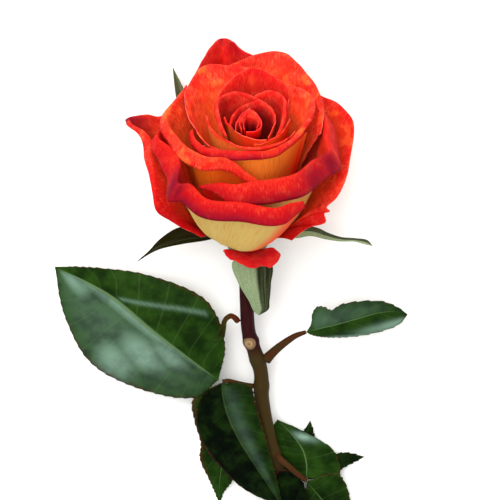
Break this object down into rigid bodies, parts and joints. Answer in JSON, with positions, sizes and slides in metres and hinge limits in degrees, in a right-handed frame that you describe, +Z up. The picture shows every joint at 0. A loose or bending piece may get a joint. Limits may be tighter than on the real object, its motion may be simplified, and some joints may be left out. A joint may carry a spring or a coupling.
{
  "type": "cut rose",
  "caption": "Single cut rose lying on its side: an open layered bloom on a bent neck, five sepals, and a plain stem with toothed leaves and a slanting cut end.",
  "frame": {"origin": "on the surface the flower lies on, under the middle of its bounding box", "axes": "+Y runs from the stem's cut end toward the bloom, +Z points up from the surface, and +X is to the right seen from above with the bloom away"},
  "size_m": [0.1274, 0.2684, 0.0645],
  "materials": {
    "petal": "soft velvety sheen, red inside and yellow outside",
    "sepal": "matt with fine down",
    "leaf": "waxy gloss above, matt below",
    "stem": "smooth green-brown bark, low gloss",
    "stalk": "smooth bark, low gloss"
  },
  "bodies": {
    "root": {"stem": "stem", "petal_heart_curl": "petal", "petal_heart_tip": "petal", "petal_heart_wrap": "petal", "petal_heart_front": "petal", "petal_heart_back": "petal", "petal_inner_fold": "petal", "petal_inner_front": "petal", "petal_inner_left": "petal", "petal_inner_right": "petal", "petal_back_middle": "petal", "petal_right_ring": "petal", "petal_left_ring": "petal", "petal_front_ring": "petal", "petal_back_right": "petal", "petal_middle_left": "petal", "petal_back_tall": "petal", "petal_front_right": "petal", "petal_front_left": "petal", "petal_outer_right": "petal", "petal_outer_left": "petal", "petal_guard": "petal", "right_leaf_stalk": "stalk", "left_leaf_stalk": "stalk", "lower_leaf_stalk": "stalk", "sepal_left": "sepal", "sepal_right": "sepal", "sepal_back_left": "sepal", "sepal_back_right": "sepal", "sepal_front": "sepal", "bract": "leaf", "right_leaf": "leaf", "left_leaflet_front": "leaf", "left_leaflet_big": "leaf", "left_leaflet_behind": "leaf", "lower_leaflet_top": "leaf", "lower_leaflet_left": "leaf", "lower_leaflet_right": "leaf", "lower_leaflet_side": "leaf", "lower_leaflet_tip": "leaf"}
  },
  "joints": []
}
